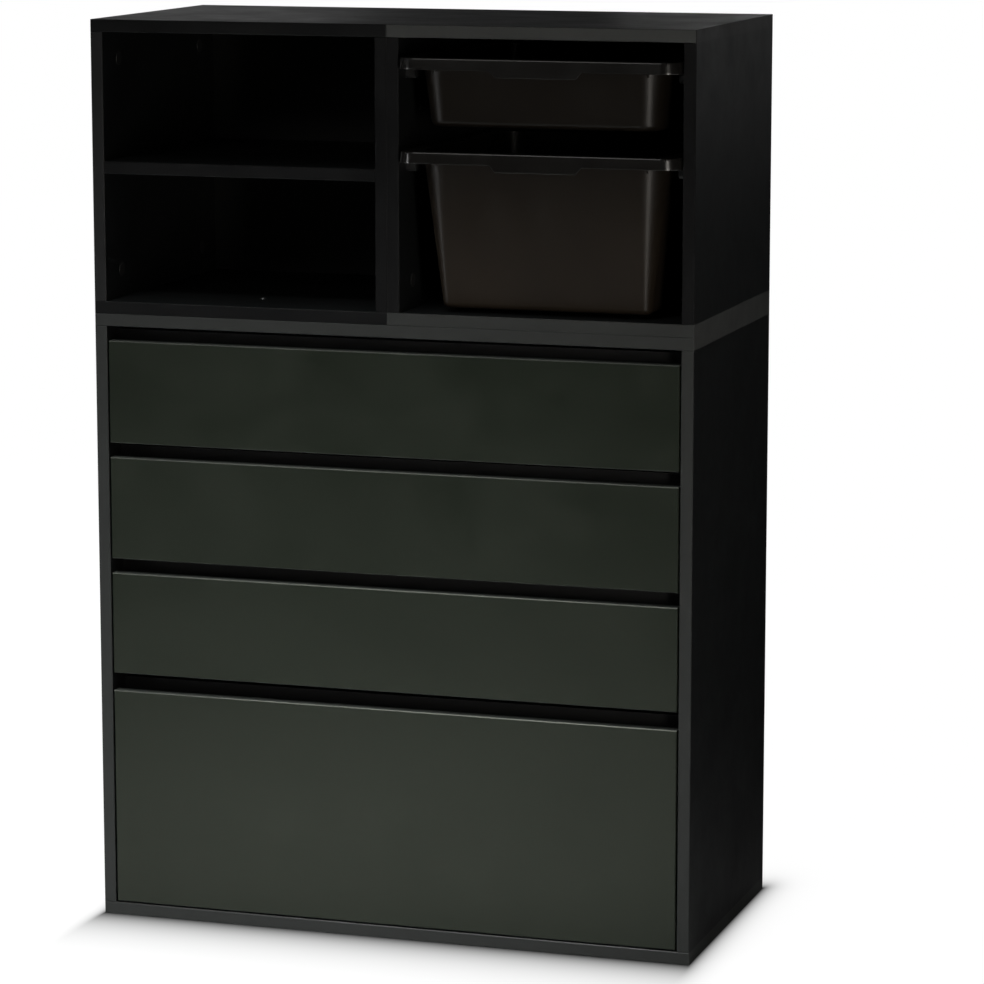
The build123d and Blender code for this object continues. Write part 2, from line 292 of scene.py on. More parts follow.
# ================================================================ finishes
@dataclass(frozen=True)
class Laminate:
    """Black satin melamine on board, with a paler band on the boards' narrow faces."""

    name: str
    face: Colour = (0.0050, 0.0055, 0.0056)
    band: Colour = (0.0300, 0.0305, 0.0300)
    roughness: float = 0.42
    specular: float = 0.42
    sheen_tint: Colour = (1.0, 1.0, 1.0)
    cloud_scale: float = 5.0
    streaks: Point = (6.0, 60.0, 60.0)
    streak_scale: float = 3.0
    smudge_scale: float = 14.0
    pebble_scale: float = 1500.0
    pebble_depth: float = 0.02 * MM

    def make(self, axis: str = "Y", end_band: Colour | None = None) -> bpy.types.Material:
        """Builds the material.

        Args:
            axis: The axis that the paler narrow faces look along.
            end_band: The tone of the narrow faces that look along X, where they are banded too; the
                cases pass a painted light or shade tone here.

        Returns:
            The material.
        """
        sheet = FinishSheet(self.name)
        cloud = sheet.noise(sheet.place, self.cloud_scale, 3.0)
        streak = sheet.noise(sheet.stretched(self.streaks), self.streak_scale, 4.0, 0.6)
        tone = sheet.math("MULTIPLY_ADD", cloud, 0.35, sheet.math("MULTIPLY", streak, 0.25))
        lighter = tuple(1.2 * c for c in self.face)
        face = sheet.mix(sheet.spread(tone, 0.0, 1.0, 0.18, 0.42), self.face, lighter)
        colour = sheet.mix(self._faces_along(sheet, axis), face, self.band)
        if end_band:
            colour = sheet.mix(self._faces_along(sheet, "X"), colour, end_band)
        smudge = sheet.noise(sheet.place, self.smudge_scale, 4.0, 0.62)
        rough = sheet.spread(smudge, self.roughness - 0.05, self.roughness + 0.06, 0.3, 0.7)
        sheet.set(Base_Color=colour, Roughness=rough, Specular_IOR_Level=self.specular,
                  Specular_Tint=self.sheen_tint)
        sheet.bump(sheet.noise(sheet.place, self.pebble_scale), self.pebble_depth, 0.5)
        return sheet.material

    @staticmethod
    def _faces_along(sheet: FinishSheet, axis: str) -> bpy.types.NodeSocket:
        """1 on faces that look along the axis, and 0 elsewhere."""
        facing = sheet.math("ABSOLUTE", sheet.along(sheet.normal, axis))
        return sheet.spread(facing, 0.0, 1.0, 0.5, 0.72)


@dataclass(frozen=True)
class Hardboard:
    """Thin pressed board painted black: smooth inside, fibres under a screen mark outside."""

    name: str
    outside: Way
    smooth: Colour = (0.0085, 0.0085, 0.0080)
    fibre: Colour = (0.0230, 0.0205, 0.0180)
    fibre_dark: Colour = (0.0095, 0.0088, 0.0080)
    fleck_scale: float = 420.0
    cloud_scale: float = 9.0
    screen_pitch: float = 2.2 * MM
    screen_depth: float = 0.08 * MM

    def make(self) -> bpy.types.Material:
        """Builds the material.

        Returns:
            The material.
        """
        sheet = FinishSheet(self.name)
        axis = "XYZ"[[abs(v) for v in self.outside.value].index(1.0)]
        facing = sheet.math("MULTIPLY", sheet.along(sheet.normal, axis), sum(self.outside.value))
        rough_side = sheet.math("GREATER_THAN", facing, 0.5)
        flecks = sheet.noise(sheet.place, self.fleck_scale, 5.0, 0.7)
        clouds = sheet.noise(sheet.place, self.cloud_scale, 3.0)
        tone = sheet.math("MULTIPLY_ADD", flecks, 0.7, sheet.math("MULTIPLY", clouds, 0.5))
        paint = sheet.mix(sheet.spread(tone, 0.0, 1.0, 0.42, 0.78), self.fibre_dark, self.fibre)
        sheet.set(Base_Color=sheet.mix(rough_side, self.smooth, paint),
                  Roughness=sheet.spread(rough_side, 0.48, 0.80), Specular_IOR_Level=0.35)
        turns = 2.0 * math.pi / self.screen_pitch
        across = sheet.math("SINE", sheet.math("MULTIPLY", sheet.along(sheet.place, "X"), turns))
        other = "Z" if axis == "Y" else "Y"
        along = sheet.math("SINE", sheet.math("MULTIPLY", sheet.along(sheet.place, other), turns))
        screen = sheet.math("MULTIPLY", sheet.math("MULTIPLY", across, along), rough_side)
        sheet.bump(sheet.math("MULTIPLY_ADD", screen, 0.5, 0.5), self.screen_depth, 0.6)
        return sheet.material


@dataclass(frozen=True)
class CoatedSteel:
    """Bent sheet steel with a black baked coat, worn a little where the rollers run."""

    name: str
    coat: Colour = (0.018, 0.018, 0.019)
    worn: Colour = (0.060, 0.060, 0.062)
    streaks: Point = (160.0, 3.0, 160.0)
    grain_scale: float = 900.0
    grain_depth: float = 0.03 * MM

    def make(self) -> bpy.types.Material:
        """Builds the material.

        Returns:
            The material.
        """
        sheet = FinishSheet(self.name)
        streaks = sheet.noise(sheet.stretched(self.streaks), 2.0, 4.0, 0.65)
        flat = sheet.math("ABSOLUTE", sheet.along(sheet.normal, "Z"))
        wear_and_painted_reflection = sheet.math("MULTIPLY", sheet.spread(streaks, 0.0, 1.0, 0.52, 0.7), flat)
        sheet.set(Base_Color=sheet.mix(wear_and_painted_reflection, self.coat, self.worn),
                  Roughness=sheet.spread(streaks, 0.30, 0.46), Specular_IOR_Level=0.5)
        sheet.bump(sheet.noise(sheet.place, self.grain_scale), self.grain_depth, 0.5)
        return sheet.material


@dataclass(frozen=True)
class Moulding:
    """Moulded plastic with a fine spark texture, a few soft scuffs and, where given, a painted
    reflection that turns it paler and browner towards the bottom.
    """

    name: str
    colour: Colour
    scuffed: Colour
    roughness: float = 0.3
    specular: float = 0.5
    scuffs: Point = (1.0, 1.0, 0.35)
    scuff_scale: float = 22.0
    spark_scale: float = 1100.0
    spark_depth: float = 0.04 * MM
    # The paler, browner colour of a painted reflection on the lower walls, and the heights where it
    # starts and where it is full.
    wear_and_painted_reflection: Colour | None = None
    painted_reflection_from: float = 0.955
    painted_reflection_to: float = 0.775
    patch_scale: float = 9.0

    def make(self) -> bpy.types.Material:
        """Builds the material.

        Returns:
            The material.
        """
        sheet = FinishSheet(self.name)
        scuffs = sheet.noise(sheet.stretched(self.scuffs), self.scuff_scale, 6.0, 0.72)
        share = sheet.spread(scuffs, 0.0, 1.0, 0.56, 0.8)
        rough = sheet.spread(scuffs, self.roughness - 0.03, self.roughness + 0.08, 0.35, 0.75)
        colour = sheet.mix(share, self.colour, self.scuffed)
        # Painted reflection: towards the bottom, in patches, the colour turns to the paler, browner one,
        # standing for warm light mirrored in the lower walls.
        if self.wear_and_painted_reflection:
            low = sheet.spread(sheet.along(sheet.place, "Z"), 0.0, 1.0, self.painted_reflection_from, self.painted_reflection_to)
            patchy = sheet.spread(sheet.noise(sheet.place, self.patch_scale, 3.0), 0.6, 1.0, 0.3, 0.7)
            colour = sheet.mix(sheet.math("MULTIPLY", low, patchy), colour, self.wear_and_painted_reflection)
        sheet.set(Base_Color=colour, Roughness=rough, Specular_IOR_Level=self.specular)
        sheet.bump(sheet.noise(sheet.place, self.spark_scale, 1.0), self.spark_depth, 0.5)
        return sheet.material


@dataclass(frozen=True)
class Plating:
    """Spotted metal plating of screws and pins."""

    name: str
    bright: Colour = (0.55, 0.55, 0.56)
    dull: Colour = (0.36, 0.37, 0.39)
    spot_scale: float = 260.0

    def make(self) -> bpy.types.Material:
        """Builds the material.

        Returns:
            The material.
        """
        sheet = FinishSheet(self.name)
        spots = sheet.noise(sheet.place, self.spot_scale, 3.0)
        sheet.set(Base_Color=sheet.mix(spots, self.dull, self.bright), Metallic=1.0,
                  Roughness=sheet.spread(spots, 0.26, 0.44))
        return sheet.material


@dataclass(frozen=True)
class Finishes:
    """Every finish of the tower, made once."""

    ends: dict[tuple[EdgeLightTone, EdgeLightTone], bpy.types.Material]
    sides: dict[EdgeLightTone, bpy.types.Material]
    front: bpy.types.Material
    box: bpy.types.Material
    case_back: bpy.types.Material
    drawer_bottom: bpy.types.Material
    runner: bpy.types.Material
    nylon: bpy.types.Material
    strip: bpy.types.Material
    bin_body: bpy.types.Material
    bin_rim: bpy.types.Material
    cap: bpy.types.Material
    zinc: bpy.types.Material
    pin: bpy.types.Material

    @classmethod
    def make(cls) -> "Finishes":
        """Makes all the materials.

        Returns:
            The set of finishes.
        """
        return cls(
            # Lit and shaded copies of one laminate: the narrow-face tones are painted light and shade,
            # one pair per board.
            ends={(e, x): Laminate(f"end_board_{e.name.lower()}_{x.name.lower()}", band=e.value,
                                   specular=0.2).make(end_band=x.value)
                  for e, x in ((EdgeLightTone.PALE, EdgeLightTone.GREY), (EdgeLightTone.MID, EdgeLightTone.PALE),
                               (EdgeLightTone.DARK, EdgeLightTone.MID))},
            sides={e: Laminate(f"side_board_{e.name.lower()}", band=e.value, specular=0.2).make()
                   for e in (EdgeLightTone.MID, EdgeLightTone.GREY, EdgeLightTone.DARK)},
            front=Laminate("front_laminate", face=(0.0052, 0.0076, 0.0048),
                           band=(0.030, 0.032, 0.030), roughness=0.38,
                           sheen_tint=(0.97, 1.0, 0.86)).make("Z"),
            box=Laminate("box_laminate", face=(0.012, 0.012, 0.012), roughness=0.5).make("Z"),
            case_back=Hardboard("case_back_board", Way.BACK).make(),
            drawer_bottom=Hardboard("drawer_bottom_board", Way.DOWN).make(),
            runner=CoatedSteel("runner_steel").make(),
            nylon=Moulding("roller_nylon", (0.62, 0.61, 0.57), (0.48, 0.47, 0.44), 0.38).make(),
            strip=Moulding("strip_black", (0.010, 0.010, 0.010), (0.022, 0.022, 0.022), 0.42).make(),
            # The bin bodies carry a painted reflection, paler and browner towards the bottom.
            bin_body=Moulding("bin_body", (0.0060, 0.0046, 0.0032), (0.0090, 0.0074, 0.0058), 0.34,
                              specular=0.17, wear_and_painted_reflection=(0.0165, 0.0122, 0.0085)).make(),
            bin_rim=Moulding("bin_rim", (0.0060, 0.0055, 0.0050), (0.0090, 0.0084, 0.0076), 0.20,
                             spark_depth=0.01 * MM).make(),
            cap=Moulding("cap_plastic", (0.010, 0.010, 0.010), (0.018, 0.018, 0.018), 0.4).make(),
            zinc=Plating("fastener_zinc").make(),
            pin=Plating("pin_steel", (0.30, 0.30, 0.31), (0.17, 0.17, 0.18)).make(),
        )


def dress(finish: bpy.types.Material, *nodes: str) -> None:
    """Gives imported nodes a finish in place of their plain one.

    Args:
        finish: The new material.
        *nodes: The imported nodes' names.
    """
    for node in nodes:
        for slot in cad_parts[node].material_slots:
            slot.material = finish
        log.info("%s: %s", node, finish.name)


# ================================================================ fasteners
@dataclass(frozen=True)
class Head:
    """One kind of fastener head or cover cap, with or without a cross recess.

    The recess's length and width are shares of the head's radius.
    """

    name: str
    radius: float
    height: float
    taper: float = 0.8
    sides: int = 20
    recess: bool = True
    recess_length: float = 1.05
    recess_width: float = 0.26
    slot: str | None = None

    def tree(self, finish: bpy.types.Material) -> bpy.types.NodeTree:
        """Builds the Geometry Nodes tree that sets a head on every point of a mesh.

        Each point's "facing" attribute says which way its head faces.

        Args:
            finish: The heads' material.

        Returns:
            The node tree. Its inputs are Radius, Height, Sides and Seed.
        """
        tree = bpy.data.node_groups.new(f"{self.name}_heads", "GeometryNodeTree")
        sheet = Sheet(tree)
        face = tree.interface
        face.new_socket("Geometry", in_out="INPUT", socket_type="NodeSocketGeometry")
        for name, kind, value in (("Radius", "NodeSocketFloat", self.radius),
                                  ("Height", "NodeSocketFloat", self.height),
                                  ("Sides", "NodeSocketInt", self.sides),
                                  ("Seed", "NodeSocketInt", 7)):
            socket = face.new_socket(name, in_out="INPUT", socket_type=kind)
            socket.default_value = value
        face.new_socket("Geometry", in_out="OUTPUT", socket_type="NodeSocketGeometry")
        group = sheet.add("NodeGroupInput").outputs
        output = sheet.add("NodeGroupOutput")
        head = self._recessed(sheet, group) if self.recess else self._plain(sheet, group)
        set_on = sheet.add("GeometryNodeInstanceOnPoints")
        facing = sheet.add("GeometryNodeInputNamedAttribute", data_type="FLOAT_VECTOR")
        facing.inputs["Name"].default_value = "facing"
        turn = sheet.add("FunctionNodeAlignRotationToVector", axis="Z")
        sheet.feed(turn.inputs["Vector"], facing.outputs["Attribute"])
        spin = sheet.add("FunctionNodeRandomValue", data_type="FLOAT")
        numbers = [s for s in spin.inputs if s.type == "VALUE"]
        numbers[0].default_value, numbers[1].default_value = 0.0, math.tau
        sheet.feed(spin.inputs["Seed"], group["Seed"])
        about = sheet.add("FunctionNodeAxisAngleToRotation")
        about.inputs["Axis"].default_value = (0.0, 0.0, 1.0)
        angle = next(s for s in spin.outputs if s.type == "VALUE" and s.enabled)
        sheet.feed(about.inputs["Angle"], angle)
        both = sheet.add("FunctionNodeRotateRotation", rotation_space="LOCAL")
        sheet.feed(both.inputs[0], turn.outputs[0])
        sheet.feed(both.inputs[1], about.outputs[0])
        sheet.feed(set_on.inputs["Points"], group["Geometry"])
        sheet.feed(set_on.inputs["Instance"], head)
        sheet.feed(set_on.inputs["Rotation"], both.outputs[0])
        real = sheet.add("GeometryNodeRealizeInstances")
        sheet.feed(real.inputs["Geometry"], set_on.outputs["Instances"])
        dressed = sheet.add("GeometryNodeSetMaterial")
        dressed.inputs["Material"].default_value = finish
        sheet.feed(dressed.inputs["Geometry"], real.outputs["Geometry"])
        sheet.feed(output.inputs["Geometry"], dressed.outputs["Geometry"])
        return tree

    def _plain(self, sheet: Sheet, group: bpy.types.NodeOutputs) -> bpy.types.NodeSocket:
        """Builds a low tapered disc that stands on its point.

        Args:
            sheet: The tree to add to.
            group: The tree's named inputs.

        Returns:
            The disc's socket.
        """
        cone = sheet.add("GeometryNodeMeshCone", fill_type="NGON")
        sheet.feed(cone.inputs["Vertices"], group["Sides"])
        sheet.feed(cone.inputs["Radius Bottom"], group["Radius"])
        sheet.feed(cone.inputs["Radius Top"], sheet.math("MULTIPLY", group["Radius"], self.taper))
        sheet.feed(cone.inputs["Depth"], group["Height"])
        return cone.outputs["Mesh"]

    def _recessed(self, sheet: Sheet, group: bpy.types.NodeOutputs) -> bpy.types.NodeSocket:
        """Builds the disc with a cross cut into its top.

        Args:
            sheet: The tree to add to.
            group: The tree's named inputs.

        Returns:
            The cut disc's socket.
        """
        arms = sheet.add("GeometryNodeJoinGeometry")
        long = sheet.math("MULTIPLY", group["Radius"], self.recess_length)
        narrow = sheet.math("MULTIPLY", group["Radius"], self.recess_width)
        for sizes in ((long, narrow), (narrow, long)):
            arm = sheet.add("GeometryNodeMeshCube")
            size = sheet.add("ShaderNodeCombineXYZ")
            sheet.feed(size.inputs["X"], sizes[0])
            sheet.feed(size.inputs["Y"], sizes[1])
            sheet.feed(size.inputs["Z"], group["Height"])
            sheet.feed(arm.inputs["Size"], size.outputs[0])
            lift = sheet.add("GeometryNodeTransform")
            up = sheet.add("ShaderNodeCombineXYZ")
            sheet.feed(up.inputs["Z"], group["Height"])
            sheet.feed(lift.inputs["Geometry"], arm.outputs["Mesh"])
            sheet.feed(lift.inputs["Translation"], up.outputs[0])
            sheet.feed(arms.inputs["Geometry"], lift.outputs["Geometry"])
        cut = sheet.add("GeometryNodeMeshBoolean", operation="DIFFERENCE")
        sheet.feed(cut.inputs["Mesh 1"], self._plain(sheet, group))
        sheet.feed(cut.inputs["Mesh 2"], arms.outputs["Geometry"])
        return cut.outputs["Mesh"]


class Fasteners:
    """Places of one kind of head on one body, turned into one plain mesh."""

    def __init__(self, head: Head, body: str) -> None:
        """Starts with no heads.

        Args:
            head: The kind of head.
            body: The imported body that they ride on.
        """
        self.head, self.body = head, body
        self.places: list[Point] = []
        self.facings: list[Point] = []

    def put(self, place: Point, way: Way) -> None:
        """Adds one head that stands on a face and looks away from it."""
        self.places.append(place)
        self.facings.append(way.value)

    def build(self, finish: bpy.types.Material) -> bpy.types.Object:
        """Makes the mesh and fastens it to its body.

        Args:
            finish: The heads' material.

        Returns:
            The finished piece.
        """
        mesh = bpy.data.meshes.new("head_places")
        mesh.from_pydata(self.places, [], [])
        facing = mesh.attributes.new("facing", "FLOAT_VECTOR", "POINT")
        facing.data.foreach_set("vector", [v for way in self.facings for v in way])
        piece = bpy.data.objects.new(f"{self.body}_{self.head.name}", mesh)
        bpy.context.scene.collection.objects.link(piece)
        modifier = piece.modifiers.new("heads", "NODES")
        modifier.node_group = self.head.tree(finish)
        names = {s.name: s.identifier for s in modifier.node_group.interface.items_tree
                 if s.in_out == "INPUT"}
        modifier[names["Radius"]] = self.head.radius
        modifier[names["Height"]] = self.head.height
        modifier[names["Sides"]] = self.head.sides
        evaluated = piece.evaluated_get(bpy.context.evaluated_depsgraph_get())
        plain = bpy.data.meshes.new_from_object(evaluated)
        piece.modifiers.clear()
        piece.data = plain
        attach(piece, self.body)
        log.info("%s: %d heads, %d faces", piece.name, len(self.places), len(plain.polygons))
        return piece


RUNNER_SCREW = Head("runner_screws", 3.4 * MM, 1.4 * MM, slot="runner_steel")
CAM_CAP = Head("cam_caps", 8.5 * MM, 0.5 * MM, taper=0.94, sides=32)
BACK_PIN = Head("back_pins", 3.0 * MM, 0.2 * MM, taper=0.6, sides=16, recess=False)
SEAT_SCREW = Head("seat_screws", 4.5 * MM, 1.6 * MM, taper=0.75)
RIVET = Head("axle_rivets", 3.6 * MM, 0.8 * MM, taper=0.7, sides=24, recess=False, slot="runner_steel")


# ================================================================ cases
@dataclass
class Cases:
    """The base cabinet and the two cubbies: their boards, rails, shelf, backs and fasteners."""

    finishes: Finishes
    names: tuple[str, ...] = ("base", "left_cubby", "right_cubby")
    # Painted light and shade: each board's narrow faces take a tone for how brightly that edge is lit,
    # pale where lit, dark where shaded.
    end_edge_light: dict[str, tuple[EdgeLightTone, EdgeLightTone]] = field(default_factory=lambda: {
        "base_top_panel": (EdgeLightTone.MID, EdgeLightTone.PALE),
        "base_bottom_panel": (EdgeLightTone.MID, EdgeLightTone.PALE),
        "left_cubby_top_panel": (EdgeLightTone.DARK, EdgeLightTone.MID),
        "left_cubby_bottom_panel": (EdgeLightTone.DARK, EdgeLightTone.MID),
        "right_cubby_top_panel": (EdgeLightTone.PALE, EdgeLightTone.GREY),
        "right_cubby_bottom_panel": (EdgeLightTone.MID, EdgeLightTone.PALE)})
    side_edge_light: dict[str, EdgeLightTone] = field(default_factory=lambda: {
        "base_left_side": EdgeLightTone.MID, "base_right_side": EdgeLightTone.MID,
        "left_cubby_left_side": EdgeLightTone.GREY, "left_cubby_right_side": EdgeLightTone.DARK,
        "right_cubby_left_side": EdgeLightTone.DARK, "right_cubby_right_side": EdgeLightTone.DARK})
    cap_from_edge: float = 50.0 * MM
    cap_from_end: float = 34.0 * MM
    pin_spacing: float = 110.0 * MM
    pin_from_edge: float = 4.0 * MM
    seat_from_middle: float = 100.0 * MM
    joint_height: float = 0.73
    joint_from_edge: float = 80.0 * MM

    def dress(self) -> None:
        """Gives every board, rail and back its finish."""
        for board, edge_light in self.end_edge_light.items():
            dress(self.finishes.ends[edge_light], board)
        for board, edge_light in self.side_edge_light.items():
            dress(self.finishes.sides[edge_light], board)
        dress(self.finishes.case_back, *(f"{name}_back_panel" for name in self.names))
        # The shelf and the rails get painted shade and painted light tones on their narrow faces as
        # well.
        dress(self.finishes.sides[EdgeLightTone.DARK], "left_cubby_shelf")
        dress(self.finishes.sides[EdgeLightTone.GREY], "front_rails")
        dress(self.finishes.strip, "small_bin_strips", "large_bin_strips")
        log.info("cases dressed: %d", len(self.names))

    def build(self) -> list[bpy.types.Object]:
        """Makes the cam caps, back pins and the screws between the cases.

        Returns:
            The finished pieces.
        """
        caps = Fasteners(CAM_CAP, "cabinet")
        pins = Fasteners(BACK_PIN, "cabinet")
        for name in self.names:
            self._put_caps(caps, name)
            self._put_pins(pins, name)
        pieces = [caps.build(self.finishes.cap), pins.build(self.finishes.pin)]
        seats = Fasteners(SEAT_SCREW, "cabinet")
        for name in self.names[1:]:
            low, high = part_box(f"{name}_bottom_panel")
            middle = (low + high) / 2
            for way in (-1, 1):
                seats.put((middle.x, middle.y + way * self.seat_from_middle, high.z), Way.UP)
        self._put_joining_screws(seats)
        pieces.append(seats.build(self.finishes.cap))
        return pieces

    def _put_caps(self, caps: Fasteners, name: str) -> None:
        """Puts two caps near each end of each side, on its inner face.

        Args:
            caps: The caps to add to.
            name: The case's name.
        """
        for side, way in (("left_side", Way.RIGHT), ("right_side", Way.LEFT)):
            low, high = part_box(f"{name}_{side}")
            x = high.x if way is Way.RIGHT else low.x
            for y in (low.y + self.cap_from_edge, high.y - self.cap_from_edge):
                for z in (low.z + self.cap_from_end, high.z - self.cap_from_end):
                    caps.put((x, y, z), way)

    def _put_pins(self, pins: Fasteners, name: str) -> None:
        """Puts pins round the edge of a back, evenly spaced between its corners.

        Args:
            pins: The pins to add to.
            name: The case's name.
        """
        low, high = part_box(f"{name}_back_panel")
        inset = self.pin_from_edge
        left, right = low.x + inset, high.x - inset
        bottom, top = low.z + inset, high.z - inset
        across = max(1, round((right - left) / self.pin_spacing))
        up = max(1, round((top - bottom) / self.pin_spacing))
        for step in range(across + 1):
            x = left + (right - left) * step / across
            for z in (bottom, top):
                pins.put((x, high.y, z), Way.BACK)
        for step in range(1, up):
            z = bottom + (top - bottom) * step / up
            for x in (left, right):
                pins.put((x, high.y, z), Way.BACK)

    def _put_joining_screws(self, seats: Fasteners) -> None:
        """Puts two screws through the sides that stand back to back, with a head on each face.

        Args:
            seats: The screws to add to.
        """
        left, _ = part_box("left_cubby_right_side")
        low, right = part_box("right_cubby_left_side")
        z = low.z + self.joint_height * (right.z - low.z)
        for y in (low.y + self.joint_from_edge, right.y - self.joint_from_edge):
            seats.put((left.x, y, z), Way.LEFT)
            seats.put((right.x, y, z), Way.RIGHT)


# ================================================================ drawers
@dataclass
class Drawers:
    """The four drawers with their runners and rollers."""

    finishes: Finishes
    count: int = 4
    web: float = 1.2 * MM
    channel_screws: tuple[float, ...] = (40.0 * MM, 150.0 * MM, 285.0 * MM)
    foot_screws: tuple[float, ...] = (35.0 * MM, 160.0 * MM, 270.0 * MM)
    axle_end_play: float = 0.3 * MM

    def dress(self) -> None:
        """Gives every drawer, runner and roller its finish."""
        for number in range(1, self.count + 1):
            drawer = f"drawer_{number}"
            dress(self.finishes.front, f"{drawer}_front")
            dress(self.finishes.box, *(f"{drawer}_{p}" for p in ("left_side", "right_side", "back")))
            dress(self.finishes.drawer_bottom, f"{drawer}_bottom")
            dress(self.finishes.runner, f"{drawer}_runners", f"cabinet_runners_{number}")
            dress(self.finishes.nylon, f"front_rollers_{number}", f"rear_rollers_{number}")
        log.info("drawers dressed: %d", self.count)

    def build(self) -> list[bpy.types.Object]:
        """Makes the runners' screws and the rivet heads on the rollers' axles.

        Returns:
            The finished pieces.
        """
        channel = Fasteners(RUNNER_SCREW, "cabinet")
        rivets = Fasteners(RIVET, "cabinet")
        pieces = []
        for number in range(1, self.count + 1):
            self._put_channel_screws(channel, number)
            self._put_rivets(rivets, f"front_rollers_{number}", True)
            foot = Fasteners(RUNNER_SCREW, f"drawer_{number}")
            self._put_foot_screws(foot, number)
            rear = Fasteners(RIVET, f"drawer_{number}")
            self._put_rivets(rear, f"rear_rollers_{number}", False)
            pieces += [foot.build(self.finishes.zinc), rear.build(self.finishes.zinc)]
        pieces += [channel.build(self.finishes.zinc), rivets.build(self.finishes.zinc)]
        return pieces

    def _put_rivets(self, rivets: Fasteners, rollers: str, inside: bool) -> None:
        """Puts a rivet head on each axle of a pair of rollers.

        Args:
            rivets: The rivets to add to.
            rollers: The pair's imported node.
            inside: Whether the heads are on the rollers' inner faces, towards the drawer.
        """
        low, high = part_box(rollers)
        middle = (low + high) / 2
        ends = self._roller_ends(rollers)
        left, right = (ends[1], ends[2]) if inside else (ends[0], ends[3])
        ways = (Way.RIGHT, Way.LEFT) if inside else (Way.LEFT, Way.RIGHT)
        rivets.put((left + self.axle_end_play * ways[0].value[0], middle.y, middle.z), ways[0])
        rivets.put((right + self.axle_end_play * ways[1].value[0], middle.y, middle.z), ways[1])

    @staticmethod
    def _roller_ends(rollers: str) -> tuple[float, float, float, float]:
        """Reads where the two rollers of a pair start and end along X.

        Args:
            rollers: The pair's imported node.

        Returns:
            The four ends, from left to right.
        """
        places = [v.co.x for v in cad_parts[rollers].data.vertices]
        left, right = [x for x in places if x < 0], [x for x in places if x > 0]
        return min(left), max(left), min(right), max(right)

    def _put_channel_screws(self, screws: Fasteners, number: int) -> None:
        """Puts screws through the webs of the cabinet's runners, into the case's sides.

        Args:
            screws: The screws to add to.
            number: The drawer's number, from the top.
        """
        low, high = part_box(f"cabinet_runners_{number}")
        z = (low.z + high.z) / 2
        for y in self.channel_screws:
            screws.put((low.x + self.web, low.y + y, z), Way.RIGHT)
            screws.put((high.x - self.web, low.y + y, z), Way.LEFT)

    def _put_foot_screws(self, screws: Fasteners, number: int) -> None:
        """Puts screws up through the feet of the drawer's runners, into the drawer's sides.

        Args:
            screws: The screws to add to.
            number: The drawer's number, from the top.
        """
        low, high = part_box(f"drawer_{number}_runners")
        for side in ("left_side", "right_side"):
            side_low, side_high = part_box(f"drawer_{number}_{side}")
            x = (side_low.x + side_high.x) / 2
            for y in self.foot_screws:
                screws.put((x, low.y + y, low.z), Way.DOWN)


